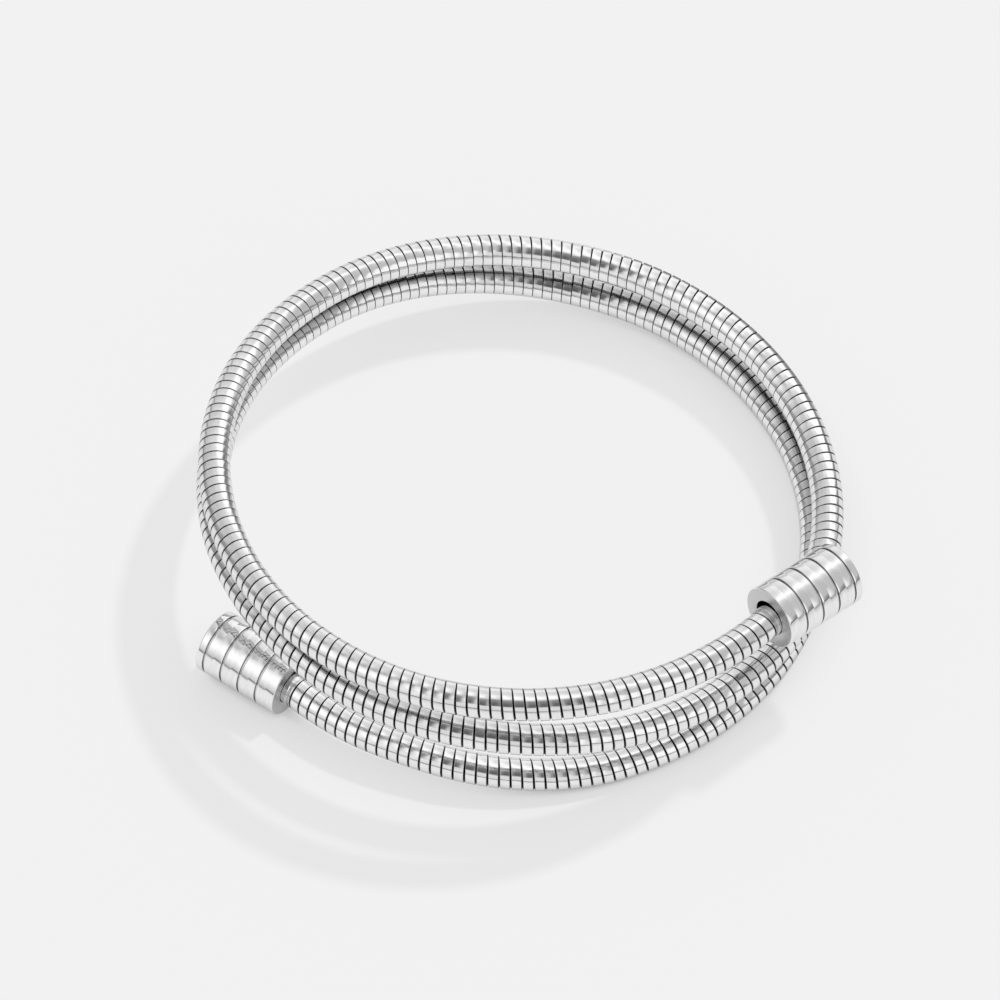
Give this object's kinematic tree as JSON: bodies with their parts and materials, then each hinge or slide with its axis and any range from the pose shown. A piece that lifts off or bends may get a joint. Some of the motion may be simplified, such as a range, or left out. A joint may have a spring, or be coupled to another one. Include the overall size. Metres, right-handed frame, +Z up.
{
  "type": "coiled tube bracelet",
  "caption": "Springy wrap bracelet: a flexible strip-wound metal tube coiled round the wrist, with a grooved cylindrical cap on each end.",
  "frame": {"origin": "on the surface that the bracelet lies on, under the middle of its box", "axes": "+Z up, along the axis of the coil; the cap on the lower end lies toward -X and -Y, the cap on the upper end toward +X and -Y"},
  "size_m": [0.0674, 0.0666, 0.0204],
  "materials": {
    "tube_steel": "polished strip, lightly brushed along its seams",
    "cap_steel": "polished, finely turned"
  },
  "bodies": {
    "root": {"flex_tube": "tube_steel", "upper_end_cap": "cap_steel", "lower_end_cap": "cap_steel"}
  },
  "joints": []
}
